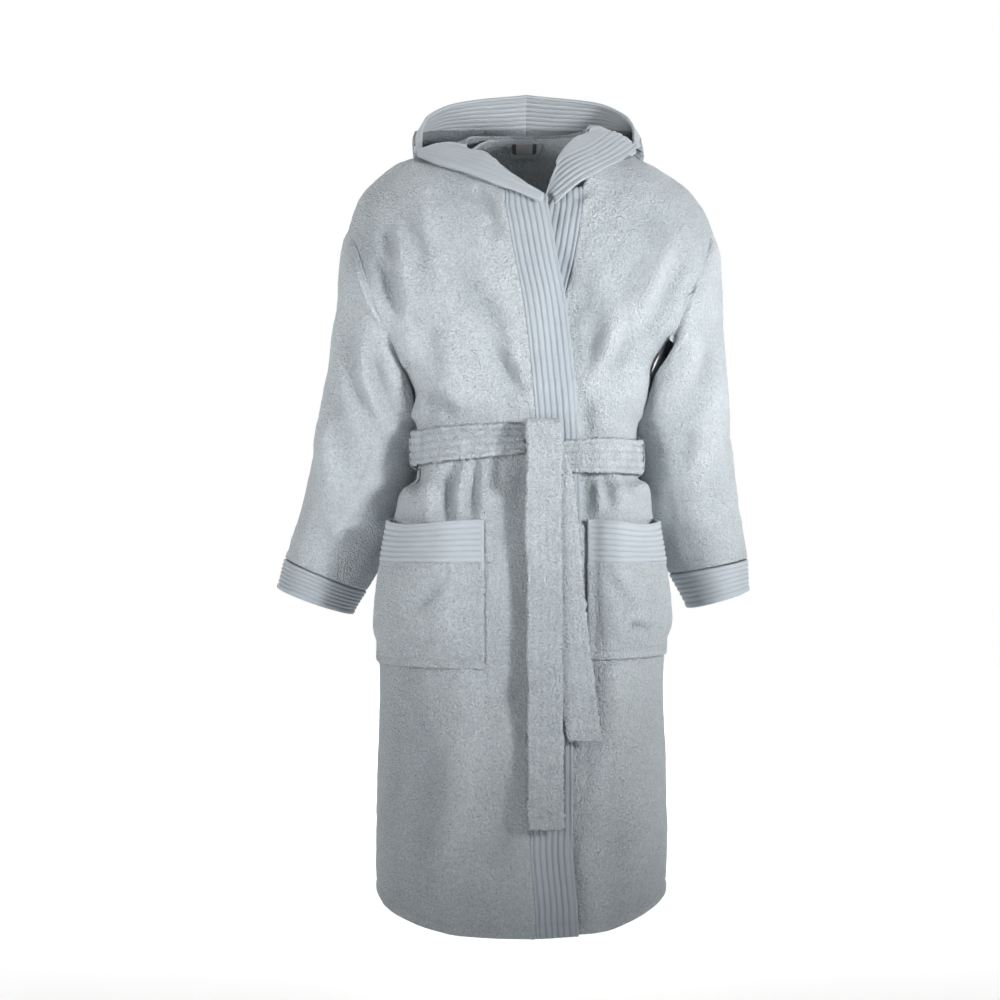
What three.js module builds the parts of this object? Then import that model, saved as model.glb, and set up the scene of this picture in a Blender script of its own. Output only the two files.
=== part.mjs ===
// A hooded terry bathrobe, wrapped right front over left and tied with its belt, in the shape it has on a
// wearer. Millimetres, +Z up, the front facing -Y, +X to the wearer's left. The origin is the centre of the
// neck at the height where the shoulders carry the robe. "right" and "left" are the wearer's.
import * as THREE from "three";

// Driving dimensions.
const CLOTH = 4; // thickness of the terry cloth
const SEAM_GAP = 1; // clearance between neighbouring pieces of cloth
const LAYER_DROP = 11; // how far the under front lies inside the wrapped front
const ARM_TOP = -105; // highest point of the armhole
const ARM_BOTTOM = -318; // underarm point
const HEM_HEIGHT = -1130; // the hem at the front
const HEM_LIFT = 38; // how much higher the hem is at the side seams
const HEM_WIDTH = 18; // the turned-up part of the hem
const BAND_WIDTH = 60; // ribbed band along each front edge
const BELT_WIDTH = 46;
const BELT_STANDOFF = 3; // the belt's back face over the robe
const TAIL_TOP = -478; // where the belt's two ends leave the knot
const KNOT_BACK = -140; // front-to-back place of the back of the knot
const LONG_TAIL_END = -970;
const SHORT_TAIL_END = -848;
const POCKET_TOP = -538;
const POCKET_BOTTOM = { right: -748, left: -736 };
const POCKET_BORDER = 62; // height of the ribbed border at the pocket's mouth
const POCKET_BULGE = 20; // how far the pocket stands off the robe in its middle
const HOOD_SPLIT = 0.57; // share of the way from the back to the front where the hood's fold line lies
const LOOP_WIDTH = 12; // belt loops
const LABEL_SIZE = [36, 1.4, 16]; // the blank woven label inside the back of the neck
const LABEL_PLACE = [0, 76.7, 31];
const HANGER_Y = 75; // front-to-back place of the hanging loop
const RIM_START = 0.91; // share of the hood's depth where its ribbed band begins
const SLIP = { x: -90, y: -12, across: 52, along: 60, drop: 26 }; // the lower right corner of the neck

const TERRY = new THREE.MeshStandardMaterial({ color: 0xc9d0d3, roughness: 1, metalness: 0 });
const RIBBED = new THREE.MeshStandardMaterial({ color: 0xc3cad2, roughness: 0.85, metalness: 0 });
const LABEL = new THREE.MeshStandardMaterial({ color: 0x9a9ca8, roughness: 0.6, metalness: 0 });

// A smooth curve through [place, value] pairs in rising order of place, with no overshoot.
function profile(points) {
  const place = points.map((p) => p[0]);
  const value = points.map((p) => p[1]);
  const last = points.length - 1;
  const step = place.slice(1).map((p, i) => p - place[i]);
  const slope = step.map((h, i) => (value[i + 1] - value[i]) / h);
  const tangent = value.map((_, i) => {
    if (i === 0) return slope[0];
    if (i === last) return slope[last - 1];
    if (slope[i - 1] * slope[i] <= 0) return 0;
    const before = 2 * step[i] + step[i - 1];
    const after = step[i] + 2 * step[i - 1];
    return (before + after) / (before / slope[i - 1] + after / slope[i]);
  });
  return (at) => {
    const x = Math.min(Math.max(at, place[0]), place[last]);
    let i = 0;
    while (i < last - 1 && x > place[i + 1]) i += 1;
    const t = (x - place[i]) / step[i];
    const u = 1 - t;
    return (
      value[i] * u * u * (1 + 2 * t) +
      tangent[i] * step[i] * t * u * u +
      value[i + 1] * t * t * (3 - 2 * t) -
      tangent[i + 1] * step[i] * t * t * u
    );
  };
}

const mix = (a, b, t) => a + (b - a) * t;
const ease = (t) => {
  const c = Math.min(Math.max(t, 0), 1);
  return c * c * (3 - 2 * c);
};
const power = (x, p) => Math.sign(x) * Math.abs(x) ** p;

// The body of the robe, by height: half width, depth in front and behind, and sideways lean of the axis.
const halfWidth = profile([
  [-1130, 212], [-700, 212], [-592, 200], [-532, 190], [-505, 187], [-490, 181], [-478, 165],
  [-435, 163], [-395, 165], [-385, 172], [-345, 182], [-318, 188], [-290, 212], [-255, 262],
  [-220, 287], [-187, 290], [-142, 283], [-120, 278], [-97, 270], [-75, 260], [-52, 243],
  [-30, 211], [-8, 172], [10, 143], [28, 115], [42, 94], [48, 86],
]);
const frontDepth = profile([
  [-1130, 150], [-700, 152], [-600, 147], [-505, 137], [-478, 126], [-435, 124], [-395, 126],
  [-385, 130], [-300, 140], [-200, 138], [-120, 131], [-87, 123], [-60, 113], [-40, 103],
  [-20, 92], [5, 73], [28, 50], [48, 26],
]);
const backDepth = profile([
  [-1130, 148], [-700, 154], [-600, 152], [-505, 137], [-478, 123], [-435, 120], [-395, 122],
  [-385, 125], [-260, 130], [-150, 124], [-80, 114], [-20, 101], [48, 85],
]);
const sway = profile([
  [-1130, -6], [-600, -5], [-505, -4], [-478, 2], [-395, 3], [-345, 10], [-97, 8], [-52, 5],
  [-30, 2], [48, 3],
]);
const SQUARENESS = profile([[-1130, 2.3], [-435, 2.3], [-300, 2.4], [48, 2.2]]);

// Front edges of the two wrapped fronts, and the neckline that each front ends in, sideways by height.
const rightEdge = profile([
  [-1130, 74], [-1090, 72], [-1000, 65], [-870, 65], [-700, 70], [-520, 78], [-418, 75],
  [-372, 72], [-300, 65], [-227, 56], [-155, 42], [-87, 30],
]);
const leftEdge = profile([[-1130, -60], [-300, -30], [-227, -8], [-155, 8], [-87, 20]]);
const rightNeck = profile([[-66, -30], [-45, -60], [-20, -78], [5, -86], [28, -89], [48, -89]]);
const leftNeck = profile([[-66, 78], [-45, 88], [-20, 92], [5, 94], [28, 93], [48, 92]]);

// Heights of the panels' rows.
const SKIRT_ROWS = [HEM_HEIGHT, -1060, -960, -850, -740, -640, -560, -505, -490, -478, -435, -395];
const ARM_ROWS = [ARM_BOTTOM, -290, -255, -222, -187, -150, -122, ARM_TOP];
const PANEL_ROWS = [...SKIRT_ROWS, -385, -345, ...ARM_ROWS, -75, -45, -20, 5, 28, 48];
const BAND_ROWS = [...SKIRT_ROWS, -385, -345, ...ARM_ROWS.slice(0, 6), -120];

// A point on the robe's outer face at an angle round it: 0 in front, a right angle at the left side seam.
function bodyPoint(angle, height, standoff = 0) {
  const n = 2 / SQUARENESS(height);
  const depth = Math.cos(angle) > 0 ? frontDepth(height) : backDepth(height);
  const low = ease((-900 - height) / 230);
  return new THREE.Vector3(
    sway(height) + (halfWidth(height) + standoff) * power(Math.sin(angle), n),
    -(depth + standoff) * power(Math.cos(angle), n),
    height + HEM_LIFT * low * Math.abs(Math.sin(angle)) ** 3,
  );
}

// The angle at which the robe's front reaches a sideways place x.
function angleAt(x, height) {
  const share = (x - sway(height)) / halfWidth(height);
  return Math.asin(power(Math.min(Math.max(share, -1), 1), SQUARENESS(height) / 2));
}

// The armhole is cut by a plane that leans outwards from the underarm to the shoulder's end.
const planeX = (height) =>
  mix(halfWidth(ARM_BOTTOM), halfWidth(ARM_TOP), (height - ARM_BOTTOM) / (ARM_TOP - ARM_BOTTOM));

// Where a panel ends sideways: the side seam, the armhole or the shoulder seam, as an angle.
function sideAngle(height, side, inset) {
  const seam = side * (Math.PI / 2 - inset / halfWidth(height));
  if (height >= ARM_TOP || height <= ARM_BOTTOM) return seam;
  return angleAt(sway(height) + side * (planeX(height) - inset), height);
}

// The neck has slipped a little to the wearer's right, so that its corner there lies lower.
function settled(p) {
  const reach = ((p.x - SLIP.x) / SLIP.across) ** 2 + ((p.y - SLIP.y) / SLIP.along) ** 2;
  p.z -= SLIP.drop * Math.exp(-reach) * ease((p.z + 60) / 100);
  return p;
}

// A closed sheet of cloth: point(u, v) is its outer face, and the thickness lies behind the face.
function cloth(name, material, point, across, along, thickness = CLOTH, loop = false) {
  const columns = loop ? across : across + 1;
  const rows = along + 1;
  const outer = [];
  for (let j = 0; j < rows; j += 1) {
    for (let i = 0; i < columns; i += 1) outer.push(settled(point(i / across, j / along)));
  }
  const at = (i, j) => {
    const column = loop ? (i + columns) % columns : Math.min(Math.max(i, 0), columns - 1);
    return outer[Math.min(Math.max(j, 0), rows - 1) * columns + column];
  };
  const inner = outer.map((p, k) => {
    const i = k % columns;
    const j = Math.floor(k / columns);
    const du = at(i + 1, j).clone().sub(at(i - 1, j));
    const dv = at(i, j + 1).clone().sub(at(i, j - 1));
    return p.clone().addScaledVector(du.cross(dv).normalize(), -thickness);
  });
  const points = [...outer, ...inner];
  const index = [];
  const quad = (a, b, c, d) => {
    if (thickness > 0) index.push(a, b, c, a, c, d);
    else index.push(a, c, b, a, d, c);
  };
  const key = (i, j, back) => (back ? outer.length : 0) + j * columns + (i % columns);
  for (let j = 0; j < along; j += 1) {
    for (let i = 0; i < across; i += 1) {
      quad(key(i, j), key(i + 1, j), key(i + 1, j + 1), key(i, j + 1));
      quad(key(i, j, 1), key(i, j + 1, 1), key(i + 1, j + 1, 1), key(i + 1, j, 1));
    }
    if (!loop) {
      quad(key(0, j), key(0, j + 1), key(0, j + 1, 1), key(0, j, 1));
      quad(key(across, j), key(across, j, 1), key(across, j + 1, 1), key(across, j + 1));
    }
  }
  for (let i = 0; i < across; i += 1) {
    quad(key(i, 0), key(i, 0, 1), key(i + 1, 0, 1), key(i + 1, 0));
    quad(key(i, along), key(i + 1, along), key(i + 1, along, 1), key(i, along, 1));
  }
  const geometry = new THREE.BufferGeometry();
  geometry.setAttribute(
    "position",
    new THREE.Float32BufferAttribute(points.flatMap((p) => p.toArray()), 3),
  );
  geometry.setIndex(index);
  const mesh = new THREE.Mesh(geometry, material);
  mesh.name = name;
  return mesh;
}

const rowAt = (rows, v) => rows[Math.round(v * (rows.length - 1))];

// The left front slides in under the right one's edge.
function underFront(point, side) {
  if (side < 0) return point;
  const reach = rightEdge(point.z) + 62 - point.x;
  return point.add(new THREE.Vector3(0, LAYER_DROP * ease(reach / 52), 0));
}

// Where the plain part of a front ends: the seam of its band, and above that the neckline.
function frontSeam(height, side) {
  if (height > -75) return (side < 0 ? rightNeck : leftNeck)(height);
  return (side < 0 ? rightEdge : leftEdge)(height) + side * BAND_WIDTH;
}

// The front's plain part, from its side seam to the seam of its band.
function frontPanel(name, side) {
  return cloth(name, TERRY, (u, v) => {
    const height = rowAt(PANEL_ROWS, v);
    const share = side < 0 ? u : 1 - u;
    const edge = sideAngle(height, side, SEAM_GAP);
    const seam = angleAt(frontSeam(height, side), height);
    const end = side * Math.min(Math.abs(seam) * Math.sign(seam * side), Math.abs(edge) - 0.16);
    return underFront(bodyPoint(mix(edge, end, share), height), side);
  }, 8, PANEL_ROWS.length - 1);
}

function frontBand(name, side) {
  return cloth(name, RIBBED, (u, v) => {
    const share = side < 0 ? u : 1 - u;
    const row = rowAt(BAND_ROWS, v);
    const height = v === 1 ? mix(-74, -92, share) : row;
    const edge = side < 0 ? rightEdge : leftEdge;
    const x = edge(height) + side * mix(BAND_WIDTH - 2 * SEAM_GAP, 0, share);
    return underFront(bodyPoint(angleAt(x, height), height), side);
  }, 3, BAND_ROWS.length - 1);
}

function backPanel() {
  return cloth("back_panel", TERRY, (u, v) => {
    const height = rowAt(PANEL_ROWS, v);
    const left = Math.PI - sideAngle(height, 1, SEAM_GAP);
    const right = Math.PI - sideAngle(height, -1, SEAM_GAP);
    return bodyPoint(mix(left, right, u), height);
  }, 14, PANEL_ROWS.length - 1);
}

// The turned-up hem lies inside the bottom of a panel, between two angles.
function hem(name, from, to, across, side) {
  return cloth(name, TERRY, (u, v) => {
    const height = mix(HEM_HEIGHT + 1, HEM_HEIGHT + HEM_WIDTH, v);
    const face = bodyPoint(mix(from, to, u), height);
    const drop = underFront(face.clone(), side).sub(face);
    return bodyPoint(mix(from, to, u), height, -CLOTH - 1.6).add(drop);
  }, across, 1, 3);
}

// Each sleeve is a tube whose rings run from its outer line to its inner one: [x, z] pairs.
const SLEEVES = {
  right: {
    side: -1,
    outer: [[264, -105], [280, -190], [286, -270], [303, -367], [315, -430], [343, -547], [361, -597]],
    inner: [[184, -318], [182, -345], [177, -380], [172, -412], [171, -450], [188, -560], [245, -646]],
    cuff: [[362, -600], [374, -643], [246, -649], [266, -682]],
  },
  left: {
    side: 1,
    outer: [[280, -105], [294, -190], [298, -270], [302, -367], [308, -430], [326, -547], [335, -597]],
    inner: [[203, -318], [199, -345], [191, -380], [184, -412], [180, -450], [190, -560], [225, -620]],
    cuff: [[336, -600], [338, -646], [226, -623], [251, -673]],
  },
};
const SLEEVE_DEPTH = [96, 94, 88, 80, 76, 71, 67]; // half the depth of a sleeve, shoulder to cuff
const SLEEVE_BACK = [0, 2, 5, 14, 20, 32, 40]; // how far back its middle hangs
const SLEEVE_SKEW = [0, 18, 42, 56, 60, 48, 24]; // how much further back its inner line lies

const along = (values) => profile(values.map((value, i) => [i / (values.length - 1), value]));

// The points round every ring of a sleeve, at the heights of the armhole's rows: outer line first.
const TURNS = [...ARM_ROWS].reverse().map((z) =>
  Math.acos((2 * (z - ARM_BOTTOM)) / (ARM_TOP - ARM_BOTTOM) - 1));
const RING = [...TURNS, ...TURNS.slice(1, -1).reverse().map((turn) => 2 * Math.PI - turn)];

// A point of the armhole, a seam's gap outside the body, where a ring of the sleeve has a turn.
function armholePoint(side, turn) {
  const height = mix(ARM_BOTTOM, ARM_TOP, (1 + Math.cos(turn)) / 2);
  const angle = angleAt(sway(height) + side * planeX(height), height);
  const front = Math.sin(turn) > 0;
  const point = bodyPoint(front ? angle : Math.PI - angle, height);
  if (Math.abs(Math.sin(turn)) < 0.01) point.y = 0;
  return point.add(new THREE.Vector3(side * mix(7, 2, (1 + Math.cos(turn)) / 2), 0, 0));
}

function ringPoint(side, outer, inner, [depth, back, skew], turn) {
  const swing = (1 + Math.cos(turn)) / 2;
  return new THREE.Vector3(
    side * mix(inner[0], outer[0], swing),
    back + skew * (1 - swing) - depth * Math.sin(turn),
    mix(inner[1], outer[1], swing),
  );
}

const ringTurn = (side, u) => {
  const index = Math.round(u * RING.length) % RING.length;
  return side > 0 ? 2 * Math.PI - RING[index] : RING[index];
};

function sleeve(name, shape) {
  const [outerX, outerZ, innerX, innerZ] = [
    shape.outer.map((p) => p[0]), shape.outer.map((p) => p[1]),
    shape.inner.map((p) => p[0]), shape.inner.map((p) => p[1]),
  ].map(along);
  const section = [SLEEVE_DEPTH, SLEEVE_BACK, SLEEVE_SKEW].map(along);
  return cloth(name, TERRY, (u, v) => {
    const turn = ringTurn(shape.side, u);
    const ring = ringPoint(shape.side, [outerX(v), outerZ(v)], [innerX(v), innerZ(v)],
      section.map((line) => line(v)), turn);
    return armholePoint(shape.side, turn).lerp(ring, ease(v * 3.2));
  }, RING.length, 10, CLOTH, true);
}

function cuff(name, shape) {
  const [outerTop, outerEnd, innerTop, innerEnd] = shape.cuff;
  return cloth(name, RIBBED, (u, v) => ringPoint(shape.side,
    [mix(outerTop[0], outerEnd[0], v), mix(outerTop[1], outerEnd[1], v)],
    [mix(innerTop[0], innerEnd[0], v), mix(innerTop[1], innerEnd[1], v)],
    [mix(66, 60, v), mix(41, 45, v), mix(22, 10, v)], ringTurn(shape.side, u)),
  RING.length, 2, CLOTH, true);
}

// The hood lies back on the shoulders. Sections from the middle of the back to the crossing in front, each
// from the neck seam, down into the bag or up over the roll of the lapel, to the rim. Behind, both sides
// are alike and [x, y, z] has x outwards; in front, each side has its own sections.
const HOOD_CENTRE = 4;
const HOOD_BACK = [
  [0, [[0, 85, 51], [0, 106, 18], [0, 128, -52], [0, 158, -122], [0, 198, -112], [0, 221, -34],
    [0, 197, 58], [0, 130, 128]]],
  [0.25, [[61, 72, 51], [76, 90, 20], [94, 117, -46], [122, 144, -104], [152, 174, -88],
    [168, 182, -18], [151, 150, 56], [114, 100, 108]]],
  [0.38, [[86, 44, 51], [106, 54, 38], [130, 70, 12], [148, 98, -26], [166, 114, -32],
    [177, 108, 2], [174, 84, 46], [157, 60, 76]]],
  [0.5, [[92, 12, 50.5], [108, 15, 46], [128, 18, 34], [148, 22, 18], [165, 26, 6], [175, 28, 12],
    [173, 24, 34], [162, 16, 51]]],
];
const HOOD_FRONT = {
  right: [
    [0.65, [[88, -26, 35], [98, -30, 37], [112, -34, 34], [128, -38, 26], [146, -43, 13],
      [159, -46, 3], [158, -50, 2], [149, -50, 4]]],
    [0.8, [[72, -88, -22], [71, -84, -12], [69, -79, -3], [68, -76, 2], [76, -84, -6],
      [85, -94, -18], [91, -101, -31], [86, -102, -36]]],
    [0.92, [[34, -117, -56], [32, -112, -46], [30, -106, -38], [29, -105, -36], [34, -110, -40],
      [39, -114, -46], [42, -119, -54], [38, -120, -57]]],
    [1, [[-22, -128, -83], [-23, -126, -79], [-24, -125, -77], [-24, -125, -75], [-23, -127, -76],
      [-22, -129, -79], [-20, -131, -83], [-21, -131, -86]]],
  ],
  left: [
    [0.65, [[92, -28, 40], [100, -26, 48], [108, -24, 52], [118, -25, 46], [134, -31, 32],
      [150, -39, 16], [161, -46, 5], [157, -50, 3]]],
    [0.8, [[82, -76, -10], [75, -67, 2], [71, -59, 12], [76, -52, 21], [91, -61, 11],
      [103, -76, -7], [111, -90, -26], [108, -97, -35]]],
    [0.92, [[50, -108, -54], [45, -101, -41], [43, -94, -29], [50, -89, -19], [61, -98, -28],
      [69, -107, -41], [75, -115, -55], [72, -118, -60]]],
    [1, [[26, -114, -88], [24, -111, -82], [25, -107, -77], [31, -106, -72], [38, -112, -73],
      [41, -116, -77], [43, -120, -82], [41, -121, -87]]],
  ],
};

function hoodSections(side) {
  const back = HOOD_BACK.map(([share, points]) =>
    [share, points.map(([x, y, z]) => [HOOD_CENTRE + side * x, y, z])]);
  const front = HOOD_FRONT[side < 0 ? "right" : "left"].map(([share, points]) =>
    [share, points.map(([x, y, z]) => [side * x, y, z])]);
  return [...back, ...front];
}

// The hood's inner face, seen from the opening, by share of the way round and share of the depth.
function hoodPoint(side) {
  const sections = hoodSections(side).map(([share, points]) =>
    [share, [0, 1, 2].map((k) => along(points.map((p) => p[k])))]);
  return (round, depth) => {
    const xyz = [0, 1, 2].map((k) => profile(sections.map(([share, lines]) => [share, lines[k](depth)])));
    return new THREE.Vector3(...xyz.map((line) => line(round)));
  };
}

// How deep a point of the hood's plain part or of its band lies, by its row and its place round the hood.
const halfDepth = (v, round) => v * (RIM_START - mix(0.004, 0.045, (round / HOOD_SPLIT) ** 3));
const bandDepth = (v) => mix(RIM_START, 1, v);

function hoodPiece(name, material, side, [from, to], depth, [across, rows], thick = CLOTH) {
  const point = hoodPoint(side);
  return cloth(name, material, (u, v) => {
    const round = side < 0 ? mix(to, from, u) : mix(from, to, u);
    return point(round, depth(v, round));
  }, across, rows, -thick);
}

function pocketPoint(side, u, height, standoff) {
  const inner = angleAt(side < 0 ? -60 : 86, height);
  const outer = side * 1.44;
  const [from, to] = side < 0 ? [outer, inner] : [inner, outer];
  return underFront(bodyPoint(mix(from, to, u), height, standoff), side);
}

function pocket(name, side, bottom) {
  const top = POCKET_TOP - POCKET_BORDER - SEAM_GAP;
  return cloth(name, TERRY, (u, v) => {
    const height = mix(bottom, top, v);
    const middle = ease(4 * u) * ease(4 * (1 - u)) * ease(v * 2.5);
    return pocketPoint(side, u, height, CLOTH + 1.5 + POCKET_BULGE * middle);
  }, 8, 4);
}

function pocketBorder(name, side) {
  return cloth(name, RIBBED, (u, v) => {
    const height = mix(POCKET_TOP - POCKET_BORDER, POCKET_TOP, v);
    const middle = ease(4 * u) * ease(4 * (1 - u));
    return pocketPoint(side, u, height, CLOTH + 1.5 + POCKET_BULGE * middle);
  }, 8, 2);
}

// The belt round the waist: its middle's height by angle, from the knot round the right side and the back.
const KNOT_X = 24;
const BELT_HEIGHT = profile([[0, -421], [1.2, -432], [3.3, -440], [5, -446], [6.3, -446]]);

function beltWrap() {
  const start = angleAt(KNOT_X - 26, -430);
  const end = angleAt(KNOT_X + 26, -440);
  return cloth("belt_wrap", TERRY, (u, v) => {
    const travel = u * (2 * Math.PI - (end - start));
    const middle = BELT_HEIGHT(travel);
    const point = bodyPoint(start - travel, -435, BELT_STANDOFF + CLOTH + 4);
    point.z = middle + BELT_WIDTH * (v - 0.5);
    return point;
  }, 40, 1, -CLOTH);
}

// The knot, where the long end passes up behind the belt and down over its front.
function knot() {
  const [low, high, corner] = [-471, -398, 9];
  const half = BELT_WIDTH / 2 + 1;
  const outline = new THREE.Shape();
  outline.moveTo(-half + corner, low);
  outline.lineTo(half - corner, low);
  outline.quadraticCurveTo(half, low, half, low + corner);
  outline.lineTo(half, high - corner);
  outline.quadraticCurveTo(half, high, half - corner, high);
  outline.lineTo(-half + corner, high);
  outline.quadraticCurveTo(-half, high, -half, high - corner);
  outline.lineTo(-half, low + corner);
  outline.quadraticCurveTo(-half, low, -half + corner, low);
  const geometry = new THREE.ExtrudeGeometry(outline, {
    depth: 10, bevelThickness: 4, bevelSize: 3, bevelOffset: -3, bevelSegments: 2, curveSegments: 3,
  });
  geometry.rotateX(Math.PI / 2);
  geometry.translate(KNOT_X, KNOT_BACK - 4, 0);
  return named("belt_knot", geometry, TERRY);
}

// A belt tail is a flat strap along points x, y, z of its front face's middle.
function tail(name, points) {
  const line = [0, 1, 2].map((k) => along(points.map((p) => p[k])));
  return cloth(name, TERRY, (u, v) => new THREE.Vector3(
    line[0](1 - v) + BELT_WIDTH * (u - 0.5), line[1](1 - v), line[2](1 - v)), 2, 10);
}

// A loop at a side seam, round the belt: its outline in a plane across the belt, as [outwards, z].
function beltLoop(name, side, middle) {
  const base = side * (halfWidth(middle) + 3) + sway(middle);
  const reach = BELT_STANDOFF + 2 * CLOTH + 4;
  const half = BELT_WIDTH / 2 + 4;
  const points = [[0, -half - 6], [reach, -half], [reach, half], [0, half + 6], [0, half + 3],
    [reach - 2, half - 2], [reach - 2, -half + 2], [0, -half - 3]];
  const outline = new THREE.Shape(points.map(([out, z]) => new THREE.Vector2(side * out, z)));
  const geometry = new THREE.ExtrudeGeometry(outline, { depth: LOOP_WIDTH, bevelEnabled: false });
  geometry.rotateX(Math.PI / 2);
  geometry.translate(base, LOOP_WIDTH / 2, middle);
  return named(name, geometry, TERRY);
}

function named(name, geometry, material) {
  const mesh = new THREE.Mesh(geometry, material);
  mesh.name = name;
  return mesh;
}

// The hanging loop: a flat loop of cloth inside the back of the neck, open at its top.
function hangerLoop() {
  const outline = new THREE.Shape();
  outline.moveTo(-27, 40);
  outline.lineTo(-27, 28);
  outline.quadraticCurveTo(-25, 16, -12, 15);
  outline.lineTo(12, 15);
  outline.quadraticCurveTo(25, 16, 27, 28);
  outline.lineTo(27, 40);
  outline.lineTo(20, 40);
  outline.lineTo(20, 29);
  outline.quadraticCurveTo(19, 23, 10, 22);
  outline.lineTo(-10, 22);
  outline.quadraticCurveTo(-19, 23, -20, 29);
  outline.lineTo(-20, 40);
  outline.closePath();
  const geometry = new THREE.ExtrudeGeometry(outline, { depth: 3, bevelEnabled: false, curveSegments: 3 });
  geometry.rotateX(Math.PI / 2);
  geometry.translate(0, HANGER_Y, 0);
  return named("hanger_loop", geometry, TERRY);
}

// The tape over the neck seam, inside the back of the neck.
function neckTape() {
  return cloth("neck_tape", RIBBED, (u, v) =>
    bodyPoint(mix(Math.PI + 0.75, Math.PI - 0.75, 1 - u), mix(36, 46, v), -CLOTH - 2), 8, 1, 1.5);
}

const robe = new THREE.Group();
robe.add(
  backPanel(),
  hem("hem_back", Math.PI / 2 + 0.03, 1.5 * Math.PI - 0.03, 14, -1),
  hem("hem_right", -Math.PI / 2 + 0.03, 0.3, 8, -1),
  hem("hem_left", -0.2, Math.PI / 2 - 0.03, 8, 1),
);
for (const [word, side] of [["right", -1], ["left", 1]]) {
  robe.add(
    frontPanel(`front_panel_${word}`, side),
    frontBand(`front_band_${word}`, side),
    pocket(`pocket_${word}`, side, POCKET_BOTTOM[word]),
    pocketBorder(`pocket_border_${word}`, side),
    sleeve(`sleeve_${word}`, SLEEVES[word]),
    cuff(`cuff_${word}`, SLEEVES[word]),
    hoodPiece(`hood_half_${word}`, TERRY, side, [0.003, HOOD_SPLIT], halfDepth, [10, 10]),
    hoodPiece(`hood_band_${word}`, RIBBED, side, [0.003, HOOD_SPLIT], bandDepth, [10, 1], 3),
    hoodPiece(`hood_front_${word}`, RIBBED, side, [HOOD_SPLIT + 0.02, 1], (v) => v, [7, 8], 3),
  );
}
robe.add(
  beltWrap(),
  knot(),
  tail("belt_tail_long", [[KNOT_X, -164, TAIL_TOP], [KNOT_X, -167, -640], [KNOT_X + 2, -170, -800],
    [KNOT_X + 4, -172, LONG_TAIL_END]]),
  tail("belt_tail_short", [[KNOT_X + 16, -157, TAIL_TOP], [KNOT_X + 32, -159, -640],
    [KNOT_X + 56, -162, SHORT_TAIL_END]]),
  beltLoop("belt_loop_right", -1, BELT_HEIGHT(1.7)),
  beltLoop("belt_loop_left", 1, BELT_HEIGHT(4.8)),
  named("neck_label", new THREE.BoxGeometry(...LABEL_SIZE).translate(...LABEL_PLACE), LABEL),
  neckTape(),
  hangerLoop(),
);

export default robe;
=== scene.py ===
"""The looks of a hooded terry bathrobe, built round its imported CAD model. Surfaces are worked out in
millimetres, with +Z up, the front facing -Y and +X to the wearer's left, and go to Blender in metres."""
import math

import bpy
import numpy as np
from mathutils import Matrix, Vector


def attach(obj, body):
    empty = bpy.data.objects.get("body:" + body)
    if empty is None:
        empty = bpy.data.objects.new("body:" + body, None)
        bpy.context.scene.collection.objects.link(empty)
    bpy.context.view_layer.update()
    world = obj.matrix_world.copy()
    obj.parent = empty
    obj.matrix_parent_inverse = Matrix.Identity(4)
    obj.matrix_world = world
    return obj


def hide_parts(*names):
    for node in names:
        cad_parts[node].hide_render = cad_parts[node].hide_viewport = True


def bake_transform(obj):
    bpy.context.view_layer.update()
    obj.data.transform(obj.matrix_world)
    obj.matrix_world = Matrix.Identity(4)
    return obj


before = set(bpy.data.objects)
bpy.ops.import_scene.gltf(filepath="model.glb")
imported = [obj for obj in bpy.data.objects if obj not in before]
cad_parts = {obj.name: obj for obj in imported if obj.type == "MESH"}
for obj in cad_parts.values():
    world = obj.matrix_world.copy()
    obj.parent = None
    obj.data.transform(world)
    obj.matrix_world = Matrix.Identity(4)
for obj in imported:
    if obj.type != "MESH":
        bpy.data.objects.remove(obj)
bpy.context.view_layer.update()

# Dimensions shared with the CAD, in millimetres.
CLOTH = 4.0
LAYER_DROP = 11.0
ARM_TOP = -105.0
ARM_BOTTOM = -318.0
HEM_HEIGHT = -1130.0
HEM_LIFT = 38.0
HEM_WIDTH = 18.0
BAND_WIDTH = 60.0
BELT_WIDTH = 46.0
BELT_LINE = -435.0
KNOT_X = 24.0
POCKET_TOP = -538.0
POCKET_BOTTOM = {"right": -748.0, "left": -736.0}
POCKET_BORDER = 62.0
HOOD_SPLIT = 0.57
RIM_START = 0.91
HOOD_CENTRE = 4.0
TOP = 48.0
LOOP_WIDTH = 12
# How far the neck has slipped: the place, reach and depth of its lower corner.
SLIP = {"x": -90, "y": -12, "across": 52, "along": 60, "drop": 26}
# Sizes that the CAD lacks or sets otherwise, in millimetres.
POCKET_BULGE = 18.0
RIB_PITCH = 8.6
STRAP_STEP = 2.6
BELT_THICKNESS = 4.6
BELT_FUZZ = 2.4
HANGER_WIDTH = 5.4
HANGER_Y = 72.2
FLOOR_HEIGHT = -1430

MM = 0.001
SIDES = {"right": -1, "left": 1}


# ---- curves and noise


def tangents(place, value):
    """Slopes of a smooth curve with no overshoot, through value[i] at place[i]."""
    step = np.diff(place).reshape((-1,) + (1,) * (value.ndim - 1))
    slope = np.diff(value, axis=0) / step
    out = np.empty_like(value)
    out[0], out[-1] = slope[0], slope[-1]
    before, after = slope[:-1], slope[1:]
    same = before * after > 0
    low = 2 * step[1:] + step[:-1]
    high = step[1:] + 2 * step[:-1]
    blend = low / np.where(same, before, 1) + high / np.where(same, after, 1)
    out[1:-1] = np.where(same, (low + high) / blend, 0)
    return out


def hermite(step, t, a, b, ta, tb):
    u = 1 - t
    return (a * u * u * (1 + 2 * t) + ta * step * t * u * u
            + b * t * t * (3 - 2 * t) - tb * step * t * t * u)


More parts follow.
